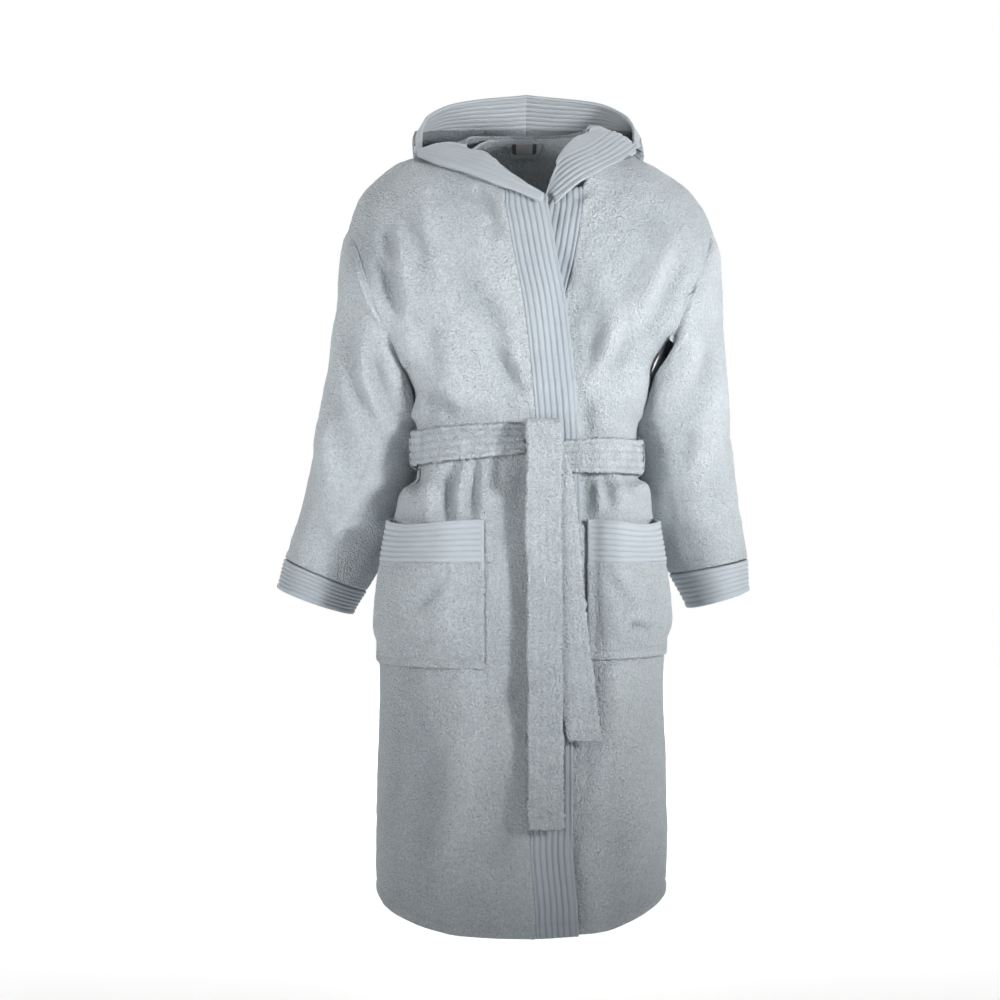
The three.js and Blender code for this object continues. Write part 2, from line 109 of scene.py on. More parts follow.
def profile(points):
    place = np.array([p[0] for p in points], float)
    value = np.array([p[1] for p in points], float)
    slope = tangents(place, value)

    def curve(at):
        at = np.clip(np.asarray(at, float), place[0], place[-1])
        i = np.clip(np.searchsorted(place, at, side="right") - 1, 0, len(place) - 2)
        step = place[i + 1] - place[i]
        t = (at - place[i]) / step
        return hermite(step, t, value[i], value[i + 1], slope[i], slope[i + 1])

    return curve


def along(values):
    return profile([(i / (len(values) - 1), v) for i, v in enumerate(values)])


def mix(a, b, t):
    return a + (b - a) * t


def ease(t):
    t = np.clip(t, 0, 1)
    return t * t * (3 - 2 * t)


def power(x, p):
    return np.sign(x) * np.abs(x) ** p


def lattice(i, seed):
    """A fixed number from -1 to 1 for each corner of a cubic lattice."""
    i = i.astype(np.uint64)
    n = (i[..., 0] * np.uint64(374761393) + i[..., 1] * np.uint64(668265263)
         + i[..., 2] * np.uint64(2246822519) + np.uint64(seed * 3266489917))
    n = (n ^ (n >> np.uint64(13))) * np.uint64(1274126177)
    n = (n ^ (n >> np.uint64(16))) & np.uint64(0xFFFFFF)
    return n.astype(float) / 0x7FFFFF - 1


def noise(p, size, seed):
    """Smooth noise from about -1 to 1 at points p, with features of a size in millimetres."""
    q = p / size + 500.0
    base = np.floor(q)
    f = q - base
    f = f * f * (3 - 2 * f)
    total = 0
    for corner in range(8):
        bits = np.array([corner & 1, corner >> 1 & 1, corner >> 2 & 1])
        weight = np.prod(np.where(bits, f, 1 - f), axis=-1)
        total = total + weight * lattice(base + bits, seed)
    return total


# ---- the robe's body, as in the CAD

half_width = profile([
    (-1130, 212), (-700, 212), (-592, 200), (-532, 190), (-505, 187), (-490, 181), (-478, 165),
    (-435, 163), (-395, 165), (-385, 172), (-345, 182), (-318, 188), (-290, 212), (-255, 262),
    (-220, 287), (-187, 290), (-142, 283), (-120, 278), (-97, 270), (-75, 260), (-52, 243),
    (-30, 211), (-8, 172), (10, 143), (28, 115), (42, 94), (48, 86)])
front_depth = profile([
    (-1130, 150), (-700, 152), (-600, 147), (-505, 137), (-478, 126), (-435, 124), (-395, 126),
    (-385, 130), (-300, 140), (-200, 138), (-120, 131), (-87, 123), (-60, 113), (-40, 103),
    (-20, 92), (5, 73), (28, 50), (48, 26)])
back_depth = profile([
    (-1130, 148), (-700, 154), (-600, 152), (-505, 137), (-478, 123), (-435, 120), (-395, 122),
    (-385, 125), (-260, 130), (-150, 124), (-80, 114), (-20, 101), (48, 85)])
sway = profile([
    (-1130, -6), (-600, -5), (-505, -4), (-478, 2), (-395, 3), (-345, 10), (-97, 8), (-52, 5),
    (-30, 2), (48, 3)])
squareness = profile([(-1130, 2.3), (-435, 2.3), (-300, 2.4), (48, 2.2)])
right_edge = profile([
    (-1130, 74), (-1090, 72), (-1000, 65), (-870, 65), (-700, 70), (-520, 78), (-418, 75),
    (-372, 72), (-300, 65), (-227, 56), (-155, 42), (-87, 30)])
left_edge = profile([(-1130, -60), (-300, -30), (-227, -8), (-155, 8), (-87, 20)])
right_neck = profile([(-66, -30), (-45, -60), (-20, -78), (5, -86), (28, -89), (48, -89)])
left_neck = profile([(-66, 78), (-45, 88), (-20, 92), (5, 94), (28, 93), (48, 92)])
belt_height = profile([(0, -421), (1.2, -432), (3.3, -440), (5, -446), (6.3, -446)])


def body_point(angle, height, standoff=0):
    """Points of the outer face at angles round the robe: 0 in front, a right angle at the left side."""
    angle, height, standoff = np.broadcast_arrays(angle, height, standoff)
    n = 2 / squareness(height)
    depth = np.where(np.cos(angle) > 0, front_depth(height), back_depth(height))
    low = ease((-900 - height) / 230)
    return np.stack([
        sway(height) + (half_width(height) + standoff) * power(np.sin(angle), n),
        -(depth + standoff) * power(np.cos(angle), n),
        height + HEM_LIFT * low * np.abs(np.sin(angle)) ** 3], -1)


def angle_at(x, height):
    share = np.clip((x - sway(height)) / half_width(height), -1, 1)
    return np.arcsin(power(share, squareness(height) / 2))


def plane_x(height):
    t = (height - ARM_BOTTOM) / (ARM_TOP - ARM_BOTTOM)
    return mix(half_width(ARM_BOTTOM), half_width(ARM_TOP), t)


def side_angle(height, side, inset):
    seam = side * (math.pi / 2 - inset / half_width(height))
    cut = angle_at(sway(height) + side * (plane_x(height) - inset), height)
    return np.where((height >= ARM_TOP) | (height <= ARM_BOTTOM), seam, cut)


def under_front(p, side):
    """The left front slides in under the right one's edge."""
    if side < 0:
        return p
    p = p.copy()
    p[..., 1] += LAYER_DROP * ease((right_edge(p[..., 2]) + 62 - p[..., 0]) / 52)
    return p


def front_seam(height, side):
    neck = (right_neck if side < 0 else left_neck)(height)
    edge = (right_edge if side < 0 else left_edge)(height) + side * BAND_WIDTH
    return mix(edge, neck, ease((height + 82) / 14))


# ---- folds

# Creases as (height, half width, [(x, z), ...]): valleys have a height below 0. Seen from the front.
CHEST_FOLDS = [
    (-5.5, 9, [(-80, -55), (-62, -80), (-50, -100), (-42, -115)]),
    (-5, 8, [(-60, -105), (-45, -125), (-35, -140)]),
    (-2.5, 11, [(-125, -60), (-128, -80), (-125, -100)]),
    (-4.5, 15, [(-185, -85), (-165, -100), (-160, -130), (-158, -200), (-155, -230)]),
    (3.5, 14, [(-145, -70), (-146, -110), (-148, -150)]),
    (-4.5, 11, [(-215, -100), (-200, -135), (-183, -170)]),
    (4, 13, [(-190, -110), (-170, -180), (-165, -240)]),
    (-6.5, 11, [(-225, -155), (-205, -180), (-200, -210), (-190, -240), (-178, -268)]),
    (-3, 14, [(-60, -195), (-40, -235), (-25, -250)]),
    (-3.5, 12, [(-95, -190), (-75, -220), (-40, -260), (-10, -300)]),
    (2.5, 14, [(-100, -225), (-65, -265), (-35, -300)]),
    (-4, 11, [(-60, -285), (-45, -305), (-20, -340), (5, -370)]),
    (-3, 12, [(-50, -345), (-30, -370), (-5, -400)]),
    (-4, 13, [(-150, -250), (-130, -300), (-118, -340)]),
    (-6, 10, [(-140, -350), (-125, -365), (-100, -400)]),
    (4, 12, [(-175, -260), (-165, -330)]),
    (-4, 8, [(-146, -340), (-136, -375), (-140, -410)]),
    (-6, 9, [(100, -52), (95, -55), (75, -75), (62, -90)]),
    (-4.5, 10, [(112, -52), (105, -60), (85, -120), (65, -160)]),
    (3, 8, [(104, -80), (88, -115), (72, -145)]),
    (-3.5, 9, [(50, -85), (45, -90), (42, -130)]),
    (-4, 10, [(52, -150), (55, -160), (60, -215)]),
    (-2.5, 11, [(92, -170), (82, -215), (62, -280)]),
    (-2, 14, [(112, -190), (102, -235), (90, -300), (72, -370)]),
    (-4, 14, [(158, -190), (150, -230), (138, -280), (125, -340), (110, -400)]),
    (3, 14, [(135, -200), (120, -260), (104, -330)]),
    (-3.5, 10, [(92, -360), (90, -385), (85, -425)]),
    (-3.5, 12, [(240, -130), (225, -165), (205, -200), (190, -240), (172, -290), (165, -330)]),
    (4, 13, [(218, -120), (200, -165), (180, -210), (165, -260)]),
    (-3.5, 20, [(160, -70), (165, -90), (190, -120), (185, -150)]),
    (-2, 11, [(250, -240), (205, -295), (190, -330), (183, -365)]),
]
SKIRT_FOLDS = [
    (-6, 9, [(-100, -425), (-100, -450), (-110, -480), (-118, -540), (-120, -580)]),
    (-6, 8, [(-72, -425), (-72, -448), (-78, -490), (-80, -535), (-84, -560)]),
    (3.5, 10, [(-88, -440), (-94, -490), (-99, -540)]),
    (3, 11, [(-130, -450), (-140, -500), (-143, -540)]),
    (-4, 10, [(-150, -440), (-160, -480), (-165, -520)]),
    (-3, 12, [(-35, -430), (-40, -470), (-44, -520)]),
    (-3, 14, [(0, -430), (-10, -500), (-15, -540)]),
    (-6, 9, [(88, -440), (88, -465), (90, -530), (91, -560)]),
    (-5.5, 9, [(102, -440), (105, -465), (120, -490), (130, -530)]),
    (3.5, 9, [(97, -455), (104, -500), (108, -540)]),
    (-4, 9, [(140, -440), (150, -480), (158, -520)]),
    (-3.5, 9, [(55, -430), (56, -480), (58, -540)]),
    (-3, 20, [(-10, -755), (-35, -800), (-50, -825)]),
    (-3, 20, [(-15, -860), (-30, -930), (-40, -980)]),
    (-3.5, 18, [(-20, -930), (-40, -1000), (-60, -1040)]),
    (3, 24, [(-5, -780), (-8, -880), (-10, -1000)]),
    (3, 20, [(-50, -1020), (-70, -1040), (-90, -1060)]),
    (-3.5, 26, [(-150, -800), (-140, -900), (-150, -1010), (-160, -1110)]),
    (3.5, 28, [(-100, -790), (-95, -900), (-110, -1010), (-105, -1110)]),
    (-3.5, 26, [(130, -800), (140, -900), (135, -1010), (145, -1110)]),
    (3, 26, [(165, -790), (175, -900), (178, -1000), (180, -1110)]),
]
BACK_FOLDS = [
    (-6, 12, [(-235, -130), (-215, -190), (-190, -250), (-170, -310)]),
    (-6, 12, [(240, -130), (220, -190), (195, -250), (172, -310)]),
    (4, 14, [(-205, -140), (-185, -200), (-160, -270)]),
    (4, 14, [(212, -140), (190, -200), (165, -270)]),
    (-4, 16, [(-140, -190), (-120, -260), (-100, -340), (-95, -400)]),
    (-4, 16, [(130, -200), (118, -270), (95, -340), (88, -400)]),
    (-3.5, 18, [(-60, -200), (-40, -280), (-30, -390)]),
    (-3.5, 18, [(40, -220), (35, -300), (28, -390)]),
    (3, 16, [(-10, -230), (0, -310), (0, -390)]),
    (-6, 9, [(-120, -440), (-126, -500), (-138, -570), (-140, -640)]),
    (-6, 9, [(-70, -440), (-76, -500), (-80, -600), (-84, -700)]),
    (-5, 10, [(-25, -440), (-26, -510), (-34, -600), (-38, -760)]),
    (-5.5, 10, [(30, -440), (34, -510), (40, -620), (46, -800)]),
    (-6, 9, [(84, -440), (92, -510), (100, -610), (104, -720)]),
    (-5, 9, [(130, -440), (142, -500), (150, -580)]),
    (4, 12, [(-98, -450), (-104, -520), (-112, -620)]),
    (4, 12, [(-48, -450), (-52, -530), (-58, -680)]),
    (4, 12, [(4, -450), (4, -530), (4, -720)]),
    (4, 12, [(60, -450), (66, -530), (74, -680)]),
    (4, 12, [(110, -450), (120, -520), (128, -620)]),
    (-5, 30, [(-120, -760), (-126, -900), (-130, -1120)]),
    (-5, 30, [(20, -800), (14, -950), (10, -1120)]),
    (-5, 30, [(140, -760), (148, -900), (150, -1120)]),
    (5, 30, [(-55, -780), (-60, -950), (-62, -1120)]),
    (5, 30, [(84, -780), (90, -950), (92, -1120)]),
]
SLEEVE_FOLDS = [
    (4.5, 15, [(255, -270), (235, -320), (200, -350)]),
    (-4.5, 14, [(278, -230), (270, -300), (255, -355), (235, -385), (210, -430)]),
    (-4, 13, [(248, -400), (240, -430), (230, -470)]),
    (3.5, 16, [(285, -330), (275, -390), (250, -440), (228, -500)]),
    (-3, 16, [(300, -420), (285, -480), (270, -540)]),
    (-6.5, 13, [(-262, -220), (-255, -300), (-245, -350), (-225, -400), (-200, -440)]),
    (4, 14, [(-245, -250), (-240, -330), (-215, -390), (-190, -430)]),
    (-6, 11, [(-230, -270), (-220, -320), (-205, -370), (-195, -400)]),
    (4, 16, [(-250, -150), (-200, -260), (-185, -290)]),
    (-3.5, 16, [(-290, -330), (-285, -400), (-262, -470), (-235, -520)]),
    (3.5, 16, [(-300, -380), (-295, -450), (-280, -520)]),
    (-3, 13, [(-320, -500), (-300, -560), (-280, -600)]),
]
PILE_SEED = 3
FOLD_GAIN = 2.3


def crease(x, z, folds):
    """How far creases lift each point (x, z): all valleys together, and all ridges together."""
    valley = np.zeros_like(x)
    ridge = np.zeros_like(x)
    for height, reach, path in folds:
        points = np.array(path, float)
        spans = np.linalg.norm(np.diff(points, axis=0), axis=1)
        total = spans.sum()
        nearest = np.full_like(x, 1e9)
        place = np.zeros_like(x)
        passed = 0.0
        for a, b, span in zip(points[:-1], points[1:], spans):
            d = (b - a) / span
            t = np.clip((x - a[0]) * d[0] + (z - a[1]) * d[1], 0, span)
            gap = (x - a[0] - d[0] * t) ** 2 + (z - a[1] - d[1] * t) ** 2
            closer = gap < nearest
            nearest = np.where(closer, gap, nearest)
            place = np.where(closer, (passed + t) / total, place)
            passed += span
        fade = ease(np.minimum(place, 1 - place) / 0.42 + 0.05)
        lift = height * FOLD_GAIN * fade
        shape = lift * np.exp(-nearest / (1.25 * reach) ** 2)
        flank = -0.3 * lift * np.exp(-nearest / (2.8 * reach) ** 2)
        if height < 0:
            valley = valley + shape + flank
        else:
            ridge = ridge + shape + flank
    return valley, ridge


def streaks(x, z, lean, size, seed):
    """Long soft folds that lean by so much across for each unit down."""
    return noise(np.stack([x + lean * z, np.zeros_like(x), (z - lean * x) * 0.16], -1), size, seed)


def body_folds(p, back=False):
    """How far the robe's cloth stands off its plain shape."""
    x, z = p[..., 0], p[..., 2]
    above = ease((z - BELT_LINE) / 90)
    reach = np.hypot(x - KNOT_X, z - BELT_LINE)
    bearing = np.arctan2(x - KNOT_X, np.maximum(z - BELT_LINE, 1))
    rays = noise(np.stack([bearing * 230, reach * 0.16, p[..., 1] * 0.3], -1), 34, 15)
    rays = rays * above * ease((reach - 30) / 150) * 11.0
    rays = rays + streaks(x, z, 0.05, 42, 16) * (1 - above) * 5.5
    folds = BACK_FOLDS if back else CHEST_FOLDS + SKIRT_FOLDS
    valley, ridge = crease(x, z, folds)
    beyond = np.abs(z - BELT_LINE)
    free = ease((beyond - 24) / 40)
    turn = np.arctan2(p[..., 0], -p[..., 1])
    ring = np.stack([np.cos(turn) * 150, np.sin(turn) * 150, z * 0.12], -1)
    gathers = noise(ring, 17, 11) * swell(beyond - 30, 2.6, 62)
    broad = noise(p * [1, 1, 0.5], 120, 5) * 2.4 + noise(p, 46, 6) * 1.6 + noise(p, 23, 7) * 0.7
    under_pocket = ((np.abs(x - 8) > 62) & (z < -545) & (z > -745) & (not back)) * 0.75
    total = valley + (ridge + broad + rays) * free + gathers * (0.3 + 0.7 * free)
    return total * (1 - under_pocket)


def pile(p, amount=0.55, seed=PILE_SEED):
    """The uneven surface of terry loops."""
    return amount * (0.8 * noise(p, 9.5, seed) + 0.6 * noise(p, 6.5, seed + 1))


# ---- meshes


def settled(face):
    """The neck has slipped a little to the wearer's right, so that its corner there lies lower."""
    x, y, z = face[..., 0], face[..., 1], face[..., 2]
    reach = ((x - SLIP["x"]) / SLIP["across"]) ** 2 + ((y - SLIP["y"]) / SLIP["along"]) ** 2
    return np.stack([x, y, z - SLIP["drop"] * np.exp(-reach) * ease((z + 60) / 100)], -1)


def face_normals(face, loop):
    if loop:
        du = np.roll(face, -1, axis=1) - np.roll(face, 1, axis=1)
    else:
        du = np.gradient(face, axis=1)
    dv = np.gradient(face, axis=0)
    n = np.cross(du, dv)
    return n / np.maximum(np.linalg.norm(n, axis=-1, keepdims=True), 1e-9)


def make_piece(name, points, quads, material, shade=None):
    """A mesh piece from points in millimetres, with an optional value per point for its material."""
    mesh = bpy.data.meshes.new(name)
    mesh.vertices.add(len(points))
    mesh.vertices.foreach_set("co", (points * MM).astype(np.float32).ravel())
    mesh.loops.add(quads.size)
    mesh.loops.foreach_set("vertex_index", quads.astype(np.int32).ravel())
    mesh.polygons.add(len(quads))
    mesh.polygons.foreach_set("loop_start", np.arange(0, quads.size, 4, dtype=np.int32))
    mesh.polygons.foreach_set("use_smooth", np.ones(len(quads), bool))
    values = mesh.attributes.new("shade", "FLOAT", "POINT")
    if shade is None:
        shade = np.zeros(len(points))
    values.data.foreach_set("value", shade.astype(np.float32))
    mesh.update(calc_edges=True)
    mesh.validate()
    mesh.materials.append(material)
    piece = bpy.data.objects.new(name, mesh)
    bpy.context.scene.collection.objects.link(piece)
    return piece


def shell(name, face, material, thickness=CLOTH, loop=False, lift=0.0, nap=0.0, lining=None,
          ragged=0.0, shade=None):
    """A closed sheet of cloth. face is a grid of points of its front face, and thickness lies behind it,
    or before it if negative. lift moves both faces outwards, nap the front one only."""
    rows, columns = face.shape[:2]
    face = settled(face)
    out = face_normals(face, loop) * (1 if thickness > 0 else -1)
    lift = np.broadcast_to(lift, (rows, columns))[..., None]
    nap = np.broadcast_to(nap, (rows, columns))[..., None]
    front = face + out * (lift + nap)
    deep = abs(thickness)
    back = face + out * (lift - deep)
    if lining is not None:
        back = back - out * np.broadcast_to(lining, (rows, columns))[..., None]
    index = np.arange(rows * columns).reshape(rows, columns)
    if loop:
        index = np.concatenate([index, index[:, :1]], 1)
    a, b, c, d = index[:-1, :-1], index[:-1, 1:], index[1:, 1:], index[1:, :-1]
    front_quads = np.stack([a, b, c, d], -1).reshape(-1, 4)
    back_quads = front_quads[:, ::-1] + rows * columns
    if loop:
        borders = [index[0, :], index[-1, ::-1]]
    else:
        borders = [np.concatenate([index[0, :-1], index[:-1, -1], index[-1, :0:-1], index[:0:-1, 0],
                                   index[0, :1]])]
    flat_front, flat_back = front.reshape(-1, 3), back.reshape(-1, 3)
    points = [flat_front, flat_back]
    quads = [front_quads, back_quads]
    start = 2 * rows * columns
    for border in borders:
        ring = border[:-1]
        j, i = np.divmod(ring, columns)
        inner_i = i if loop else np.clip(i, 1, columns - 2)
        inner = np.clip(j, 1, rows - 2) * columns + inner_i
        reach = flat_front[ring] - flat_front[inner]
        reach /= np.maximum(np.linalg.norm(reach, axis=-1, keepdims=True), 1e-9)
        middle = (flat_front[ring] + flat_back[ring]) / 2
        push = 0.3 * deep + ragged * (0.6 + noise(middle, 3.1, 21))
        points.append(middle + reach * push[:, None])
        rim = start + np.arange(len(ring) + 1) % len(ring)
        one, two = border[:-1], border[1:]
        quads.append(np.stack([two, one, rim[:-1], rim[1:]], -1))
        quads.append(np.stack([rim[1:], rim[:-1], one + rows * columns, two + rows * columns], -1))
        start += len(ring)
    quads = np.concatenate(quads)
    if thickness < 0:
        quads = quads[:, ::-1]
    points = np.concatenate(points)
    # The shade values paint shade and light onto the front face and half as much onto the back face; on
    # the label they give its own colour.
    painted_light_and_colour = np.zeros(len(points))
    if shade is not None:
        flat = np.broadcast_to(shade, (rows, columns)).ravel()
        painted_light_and_colour[:rows * columns] = flat
        painted_light_and_colour[rows * columns:2 * rows * columns] = flat * 0.5
    return make_piece(name, points, quads, material, painted_light_and_colour)


def grid(rows, columns):
    v, u = np.meshgrid(np.linspace(0, 1, rows), np.linspace(0, 1, columns), indexing="ij")
    return u, v


def ribs(distance, depth=1.7, pitch=RIB_PITCH, width=1.25):
    """Ribs a pitch apart, with a narrow groove at each whole number of pitches."""
    phase = distance / pitch
    off = np.abs(phase - np.round(phase)) * pitch
    return 0.3 * np.sin(math.pi * off / pitch) - depth * np.exp(-(off / width) ** 2)


def swell(distance, height, width):
    """A soft ridge along the line where distance is 0."""
    return height * np.exp(-(distance / width) ** 2)


def groove(distance, depth, width):
    return swell(distance, -depth, width)


def arc_length(face, axis=0):
    """Distance along a grid from its first row or column."""
    step = np.linalg.norm(np.diff(face, axis=axis), axis=-1)
    start = np.zeros_like(np.take(step, [0], axis=axis))
    return np.concatenate([start, np.cumsum(step, axis=axis)], axis=axis)


def to_sides(across):
    """Distance to the nearer side of a grid, from the distance across it."""
    return np.minimum(across, across[:, -1:] - across)


# ---- materials


def material(name, light, dark, grain, bumps, blotch=0.5, sheen=0.3, roughness=0.95, mottle=0.5):
    """Cloth with a colour between dark and light by patches, tufts and the piece's shade values, which
    hold painted shade and painted light, and on the label its own colour.
    """
    made = bpy.data.materials.new(name)
    made.use_nodes = True
    nodes, links = made.node_tree.nodes, made.node_tree.links
    shader = nodes["Principled BSDF"]
    shader.inputs["Roughness"].default_value = roughness
    shader.inputs["Specular IOR Level"].default_value = 0.15
    shader.inputs["Sheen Weight"].default_value = sheen
    shader.inputs["Sheen Roughness"].default_value = 0.6
    where = nodes.new("ShaderNodeTexCoord").outputs["Object"]

    def texture(kind, scale, detail=2.0):
        node = nodes.new("ShaderNodeTex" + kind)
        node.inputs["Scale"].default_value = scale
        if kind == "Noise":
            node.inputs["Detail"].default_value = detail
            node.inputs["Roughness"].default_value = 0.6
        links.new(where, node.inputs["Vector"])
        return node.outputs["Fac" if kind == "Noise" else "Distance"]

    def sum_of(a, b, factor):
        """a times factor plus b, or centred on a half where there is no b."""
        node = nodes.new("ShaderNodeMath")
        node.operation = "MULTIPLY_ADD"
        links.new(a, node.inputs[0])
        node.inputs[1].default_value = factor
        if b is None:
            node.inputs[2].default_value = 0.5 - factor / 2
        else:
            links.new(b, node.inputs[2])
        return node.outputs[0]

    shade = nodes.new("ShaderNodeAttribute")
    shade.attribute_name = "shade"
    tone_and_painted_light = sum_of(texture("Noise", 14, 3), None, blotch)
    tuft = nodes.new("ShaderNodeMath")
    tuft.operation = "SUBTRACT"
    links.new(texture("Noise", grain, 4), tuft.inputs[0])
    tuft.inputs[1].default_value = 0.5
    tone_and_painted_light = sum_of(tuft.outputs[0], tone_and_painted_light, mottle)
    tone_and_painted_light = sum_of(shade.outputs["Fac"], tone_and_painted_light, 0.5)
    ramp = nodes.new("ShaderNodeValToRGB")
    ramp.color_ramp.elements[0].color = (*dark, 1)
    ramp.color_ramp.elements[1].color = (*light, 1)
    links.new(tone_and_painted_light, ramp.inputs["Fac"])
    links.new(ramp.outputs["Color"], shader.inputs["Base Color"])
    previous = None
    for kind, scale, distance, strength in bumps:
        bump = nodes.new("ShaderNodeBump")
        bump.inputs["Distance"].default_value = distance
        bump.inputs["Strength"].default_value = strength
        links.new(texture(kind, scale, 3), bump.inputs["Height"])
        if previous is not None:
            links.new(previous, bump.inputs["Normal"])
        previous = bump.outputs["Normal"]
    links.new(previous, shader.inputs["Normal"])
    return made


TERRY = material("terry", (0.66, 0.715, 0.745), (0.33, 0.38, 0.415), 400,
                 [("Noise", 270, 0.006, 0.95), ("Voronoi", 480, 0.0022, 0.7)],
                 blotch=0.2, sheen=0.25, mottle=1.8)
RIBBED = material("ribbed", (0.58, 0.625, 0.655), (0.24, 0.28, 0.32), 900,
                  [("Noise", 700, 0.0006, 0.5), ("Noise", 90, 0.001, 0.25)],
                  blotch=0.18, sheen=0.2, roughness=0.8, mottle=0.25)
LABEL = material("label", (0.42, 0.42, 0.44), (0.012, 0.012, 0.014), 1500,
                 [("Voronoi", 1400, 0.0004, 0.5), ("Noise", 1800, 0.0003, 0.4)],
                 blotch=0.08, sheen=0.05, roughness=0.5, mottle=0.15)

# ---- fronts, bands and back

PANEL_HEIGHTS = np.concatenate([np.arange(HEM_HEIGHT, -100, 4.0), np.arange(-100, TOP, 2.2), [TOP]])


def keep(piece, body, nodes):
    """Hide the CAD parts that a piece stands for and hang the piece on its body's empty; a piece given
    two bodies only has its transform applied.
    """
    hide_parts(*nodes)
    if isinstance(body, str):
        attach(piece, body)
    else:
        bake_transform(piece)


def hem_detail(height):
    """The turned-up hem shows as a soft roll below a stitched line."""
    up = height - HEM_HEIGHT
    return groove(up - HEM_WIDTH, 1.8, 2.6) + 1.1 * ease(up / 4) * (1 - ease((up - 10) / 8))


def painted_relief_shading(lift, scale=0.045):
    """Painted shade in valleys of cloth and painted light on its ridges, in step with how far they lift,
    within limits.
    """
    return np.clip(lift * scale, -0.5, 0.3)


def front_panel(word):
    side = SIDES[word]
    height = PANEL_HEIGHTS[:, None]
    columns = 112
    share = np.linspace(0, 1, columns)[None, :]
    edge = side_angle(height, side, -0.2)
    seam = angle_at(front_seam(height, side) + side * 0.3, height)
    end = side * np.minimum(seam * side, np.abs(edge) - 0.16)
    share = share if side < 0 else 1 - share
    base = body_point(mix(edge, end, share), np.broadcast_to(height, (len(height), columns)))
    lift = body_folds(base) + hem_detail(height)
    across = arc_length(base, axis=1)
    from_seam = across[:, -1:] - across if side < 0 else across
    from_side = across if side < 0 else across[:, -1:] - across
    fuzzy = swell(from_seam - 4, 1.4, 3.2) * (1 + 0.5 * noise(base, 4.5, 31))
    lift = lift + np.where(height < -60, fuzzy, 0) + groove(from_seam, 1.5, 1.6)
    lift = lift + groove(from_side, 0.4, 4.0) + groove(TOP - height, 1.0, 3.0)
    base = under_front(base, side)
    piece = shell(f"front_{word}", base, TERRY, lift=lift, nap=pile(base), lining=pile(base, 0.4, 9),
                  shade=painted_relief_shading(lift))
    keep(piece, "robe", [f"front_panel_{word}"])


def front_band(word):
    side = SIDES[word]
    rows, columns = 300, 62
    u, v = grid(rows, columns)
    share = u if side < 0 else 1 - u
    top = mix(-60, -76, share)
    height = mix(HEM_HEIGHT, top, v)
    edge = right_edge if side < 0 else left_edge
    from_edge = mix(BAND_WIDTH - 0.6, 0, share)
    base = body_point(angle_at(edge(height) + side * from_edge, height), height)
    folds = body_folds(base) * 0.5
    wave = noise(base * [0.2, 0.2, 1], 30, 41) * 0.5
    ribbing = ribs(from_edge - 3.5 + wave * 0.5) * ease((from_edge - 2) / 4)
    lift = folds + wave + hem_detail(height) * 0.8
    roll = swell(from_edge - 2, 1.2, 2.4)
    base = under_front(base, side)
    # Painted shade in the rib grooves and fold valleys and painted light on their ridges; the whole band
    # is also made a little darker.
    piece = shell(f"band_{word}", base, RIBBED, lift=lift, nap=ribbing + roll,
                  shade=painted_relief_shading(ribbing, 0.24) + painted_relief_shading(lift) - 0.35)
    keep(piece, "robe", [f"front_band_{word}"])


def back_panel():
    height = PANEL_HEIGHTS[:, None]
    columns = 146
    share = np.linspace(0, 1, columns)[None, :]
    left = math.pi - side_angle(height, 1, -0.2)
    right = math.pi - side_angle(height, -1, -0.2)
    base = body_point(mix(left, right, share), np.broadcast_to(height, (len(height), columns)))
    lift = body_folds(base, back=True) + hem_detail(height)
    across = arc_length(base, axis=1)
    to_side = to_sides(across)
    lift = lift + groove(to_side, 1.2, 3.0) + groove(TOP - height, 1.0, 3.0)
    # Painted light: the back is painted lighter towards the neck, where its inside shows through the
    # neckline; painted shading also follows its folds.
    piece = shell("back", base, TERRY, lift=lift, nap=pile(base), lining=pile(base, 0.4, 9),
                  shade=painted_relief_shading(lift) + 2.0 * ease((height + 80) / 50))
    keep(piece, "robe", ["back_panel"])


def hem(name, start, end, side, back):
    rows = 8
    columns = int(abs(end - start) * 60)
    u, v = grid(rows, columns)
    height = mix(HEM_HEIGHT + 1.5, HEM_HEIGHT + HEM_WIDTH, v)
    turn = mix(start, end, u)
    outer = body_point(turn, height)
    lift = body_folds(outer, back)
    drop = under_front(outer, side) - outer
    base = body_point(turn, height, -CLOTH - 1.2) + drop
    piece = shell(name + "_turn", base, TERRY, 2.6, lift=lift, nap=pile(base, 0.3))
    keep(piece, "robe", [name])


# ---- sleeves and cuffs

SLEEVES = {
    "right": {
        "outer": [(264, -105), (280, -190), (286, -270), (303, -367), (315, -430), (343, -547),
                  (361, -597)],
        "inner": [(180, -318), (168, -345), (160, -380), (157, -412), (161, -450), (188, -560),
                  (245, -646)],
        "cuff": [(362, -600), (374, -643), (246, -649), (266, -682)],
    },
    "left": {
        "outer": [(280, -105), (294, -190), (298, -270), (302, -367), (308, -430), (326, -547),
                  (335, -597)],
        "inner": [(198, -318), (183, -345), (172, -380), (167, -412), (170, -450), (190, -560),
                  (225, -620)],
        "cuff": [(336, -600), (338, -646), (226, -623), (251, -673)],
    },
}
SLEEVE_DEPTH = along([96, 94, 88, 80, 76, 71, 67])
SLEEVE_BACK = along([0, 2, 5, 14, 20, 32, 40])
SLEEVE_SKEW = along([0, 0, 8, 32, 46, 44, 24])


def armhole_point(side, turn):
    height = mix(ARM_BOTTOM, ARM_TOP, (1 + np.cos(turn)) / 2)
    angle = angle_at(sway(height) + side * plane_x(height), height)
    angle = np.where(np.sin(turn) > 0, angle, math.pi - angle)
    p = body_point(angle, height)
    p[..., 0] += side * 0.2
    return p


def ring_point(side, outer, inner, section, turn):
    depth, back, skew = section
    swing = (1 + np.cos(turn)) / 2
    return np.stack([
        side * mix(inner[0], outer[0], swing),
        back + skew * (1 - swing) - depth * np.sin(turn),
        mix(inner[1], outer[1], swing)], -1)


